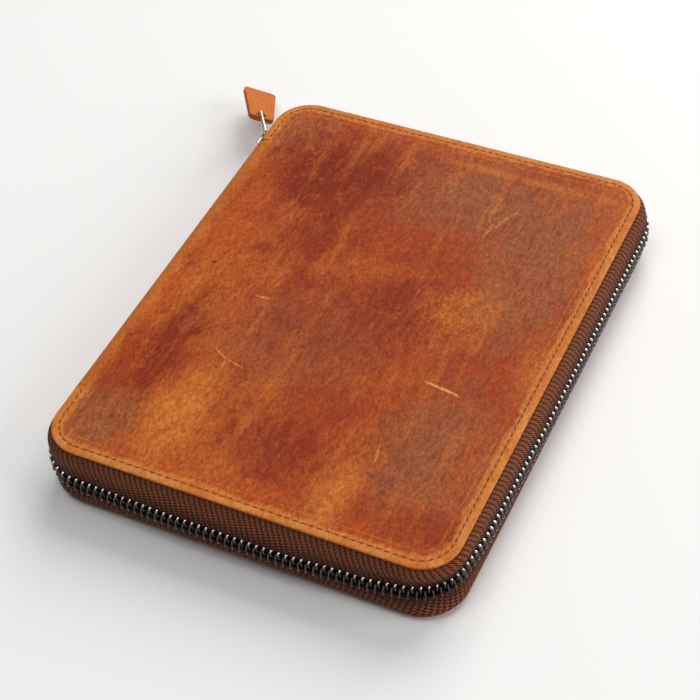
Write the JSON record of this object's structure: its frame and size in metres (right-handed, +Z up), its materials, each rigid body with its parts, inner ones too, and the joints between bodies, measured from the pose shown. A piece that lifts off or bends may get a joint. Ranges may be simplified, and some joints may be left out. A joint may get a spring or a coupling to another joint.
{
  "type": "portfolio case",
  "caption": "Small zip-round leather portfolio case: two stiffened covers folded on a spine, closed by a metal zip with a leather pull tab.",
  "frame": {"origin": "centre of the back cover's outer face, which the case lies on", "axes": "+X from the spine to the zip side, +Y along the spine to the end with the zip pull, +Z up from the back cover to the front cover"},
  "size_m": [0.1734, 0.2047, 0.025],
  "materials": {
    "pull_up_leather": "waxed pull-up leather, satin, darker and paler where it has been bent and rubbed",
    "pocket_leather": "thin smooth leather, matte",
    "stiffener": "matte sheet",
    "lining_cloth": "brown twill",
    "zip_tape": "woven herringbone tape",
    "zip_metal": "polished nickel",
    "slider_metal": "polished nickel"
  },
  "bodies": {
    "back_cover": {"back_cover_leather": "pull_up_leather", "back_board": "stiffener", "back_lining": "lining_cloth", "back_pocket": "pocket_leather", "lower_zip_tape": "zip_tape", "lower_zip_teeth": "zip_metal", "lower_zip_stop": "zip_metal"},
    "spine": {"spine_leather": "pull_up_leather", "spine_board": "stiffener", "spine_lining": "lining_cloth"},
    "front_cover": {"front_cover_leather": "pull_up_leather", "front_board": "stiffener", "front_lining": "lining_cloth", "front_pocket": "pocket_leather", "upper_zip_tape": "zip_tape", "upper_zip_teeth": "zip_metal", "upper_zip_stops": "zip_metal"},
    "zip_slider": {"slider_body": "slider_metal", "slider_bail": "slider_metal"},
    "pull_link": {"pull_link": "slider_metal"},
    "pull_tab": {"pull_tab_face": "pull_up_leather", "pull_tab_backing": "pull_up_leather"}
  },
  "joints": [
    {"name": "spine_fold", "type": "hinge", "parent": "back_cover", "child": "spine", "pos_m": [-0.07032, 0, 0.00118], "axis": [0, -1, 0], "range_deg": [0, 90]},
    {"name": "cover_fold", "type": "hinge", "parent": "spine", "child": "front_cover", "pos_m": [-0.07032, 0, 0.02382], "axis": [0, -1, 0], "range_deg": [0, 90]},
    {"name": "slider_travel", "type": "hinge", "parent": "front_cover", "child": "zip_slider", "pos_m": [-0.0563, 0.078, 0.0125], "axis": [0, 0, -1], "range_deg": [0, 90]},
    {"name": "link_swing", "type": "hinge", "parent": "zip_slider", "child": "pull_link", "pos_m": [-0.07585, 0.0799, 0.0125], "axis": [0, 0, 1], "range_deg": [-10, 105]},
    {"name": "tab_swing", "type": "hinge", "parent": "pull_link", "child": "pull_tab", "pos_m": [-0.08326, 0.09009, 0.0125], "axis": [0, 0, 1], "range_deg": [-30, 12]}
  ],
  "couplings": [
    {"joint": "cover_fold", "follows": "spine_fold", "ratio": 1}
  ]
}
